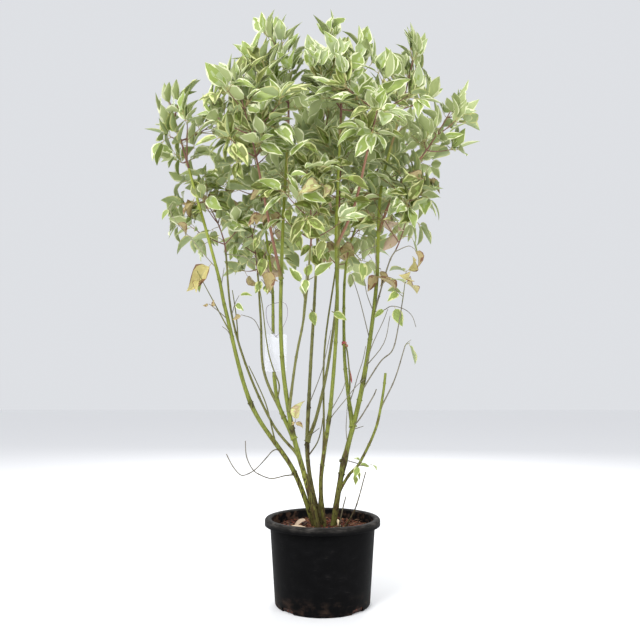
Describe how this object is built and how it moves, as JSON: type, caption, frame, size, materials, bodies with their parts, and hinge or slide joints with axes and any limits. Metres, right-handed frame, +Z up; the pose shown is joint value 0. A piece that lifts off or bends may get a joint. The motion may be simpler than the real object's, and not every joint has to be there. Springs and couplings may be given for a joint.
{
  "type": "potted elegantissima tatarian dogwood",
  "caption": "Variegated dogwood shrub in a round black nursery pot: bare upright canes fan out and carry a rounded crown of cream-edged leaves.",
  "frame": {"origin": "centre of the pot's flat underside, on the surface that it stands on", "axes": "+Z up along the pot's axis, +Y away from the front view, +X to the right of it"},
  "size_m": [0.9192, 0.8057, 1.5489],
  "materials": {
    "pot": "matte black moulded plastic, scuffed on the lip",
    "potting_mix": "bark chips and dark mix",
    "green_bark": "smooth yellow-green bark, browner near the soil",
    "red_bark": "smooth red-brown young bark",
    "dry_bark": "dull dry bark",
    "foliage": "matte grey-green leaves with cream margins",
    "tag": "bare white film",
    "tag_loop": "thin grey strand",
    "tie": "red soft plastic"
  },
  "bodies": {
    "root": {"pot": "pot", "potting_mix": "potting_mix", "cane_left": "green_bark", "cane_front_left": "green_bark", "cane_back": "green_bark", "cane_front": "green_bark", "cane_right": "green_bark", "cane_back_thin": "green_bark", "cane_back_left": "green_bark", "cane_far_left": "green_bark", "cane_left_thin": "green_bark", "cane_front_thin": "green_bark", "cane_middle": "green_bark", "cane_back_right": "green_bark", "cane_right_thin": "green_bark", "bough_front_left": "red_bark", "bough_front_right": "red_bark", "bough_right_low": "red_bark", "bough_right": "red_bark", "twig_low_left": "dry_bark", "twig_low_front": "dry_bark", "twig_right": "dry_bark", "twig_right_high": "dry_bark", "twig_middle": "dry_bark", "twig_tied": "dry_bark", "twig_soil_right": "dry_bark", "twig_soil_middle": "dry_bark", "crown_left": "foliage", "crown_top_left": "foliage", "crown_top": "foliage", "crown_top_right": "foliage", "crown_right": "foliage", "crown_front_left": "foliage", "crown_front_right": "foliage", "crown_back_left": "foliage", "crown_back": "foliage", "crown_back_right": "foliage", "crown_heart": "foliage", "skirt_left": "foliage", "skirt_back_left": "foliage", "skirt_front": "foliage", "skirt_right": "foliage", "skirt_back": "foliage", "sprig_front": "foliage", "sprig_left": "foliage", "sprig_right": "foliage", "sprig_right_high": "foliage", "sprig_low": "foliage", "tag": "tag", "tag_loop": "tag_loop", "tie": "tie"}
  },
  "joints": []
}
